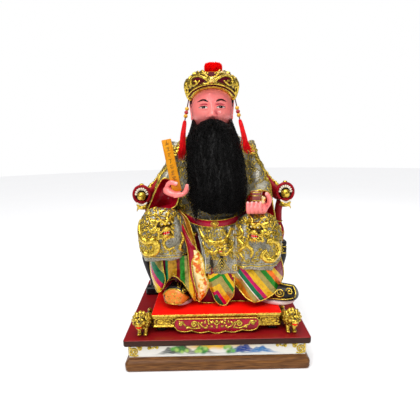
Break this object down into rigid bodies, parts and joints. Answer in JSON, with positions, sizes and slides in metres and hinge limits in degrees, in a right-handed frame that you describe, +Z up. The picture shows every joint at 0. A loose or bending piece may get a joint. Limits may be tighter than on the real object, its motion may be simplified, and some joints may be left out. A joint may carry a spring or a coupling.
{
  "type": "carved and painted seated deity statue",
  "caption": "Seated bearded patron saint of carpenters on a dragon throne, holding a ruler and an ink marker, on a stepped plinth.",
  "frame": {"origin": "centre of the plinth's underside", "axes": "+Z up, -Y towards the viewer in front of the figure, +X to the figure's left"},
  "size_m": [0.24, 0.22, 0.3988],
  "materials": {
    "walnut": "stained and varnished wood, fine grain",
    "frieze": null,
    "lacquer": "glossy crimson lacquer with gilt edges",
    "scarlet": "bright scarlet paint",
    "gold": "gilt carving with brown in the hollows",
    "robe": "silver-grey ground with raised gilt thread relief and striped metallic lacquer folds",
    "skin": "glossy pink enamel",
    "hair": "curly black fibre",
    "black": "black lacquer",
    "ruler": "orange gold paint with rows of small dark strokes that are not letters",
    "ink_marker": "glossy red-brown lacquer",
    "silk": "bright red silk thread",
    "cord": "thin dark red cord",
    "bead": "gold bead",
    "silk_bead": "red bead"
  },
  "bodies": {
    "root": {"plinth_bottom_board": "walnut", "plinth_frieze_block": "frieze", "plinth_top_board": "lacquer", "footstool_case": "gold", "footstool_top": "scarlet", "footstool_apron": "lacquer", "lion_left": "gold", "lion_right": "gold", "throne_seat": "lacquer", "throne_back": "lacquer", "figure": "robe", "beard": "hair", "pompom": "silk", "hand_with_ruler": "skin", "ruler": "ruler", "hand_with_ink_marker": "skin", "ink_marker": "ink_marker", "footstool_foot_front_left": "walnut", "throne_leg_front_left": "black", "footstool_foot_front_right": "walnut", "throne_leg_front_right": "black", "footstool_foot_rear_left": "walnut", "throne_leg_rear_left": "black", "footstool_foot_rear_right": "walnut", "throne_leg_rear_right": "black", "throne_arm_left": "lacquer", "throne_arm_post_left": "lacquer", "tassel_cord_left": "cord", "tassel_left": "silk", "tassel_bead_left_1": "bead", "tassel_bead_left_2": "silk_bead", "tassel_bead_left_3": "bead", "throne_arm_right": "lacquer", "throne_arm_post_right": "lacquer", "tassel_cord_right": "cord", "tassel_right": "silk", "tassel_bead_right_1": "bead", "tassel_bead_right_2": "silk_bead", "tassel_bead_right_3": "bead"}
  },
  "joints": []
}
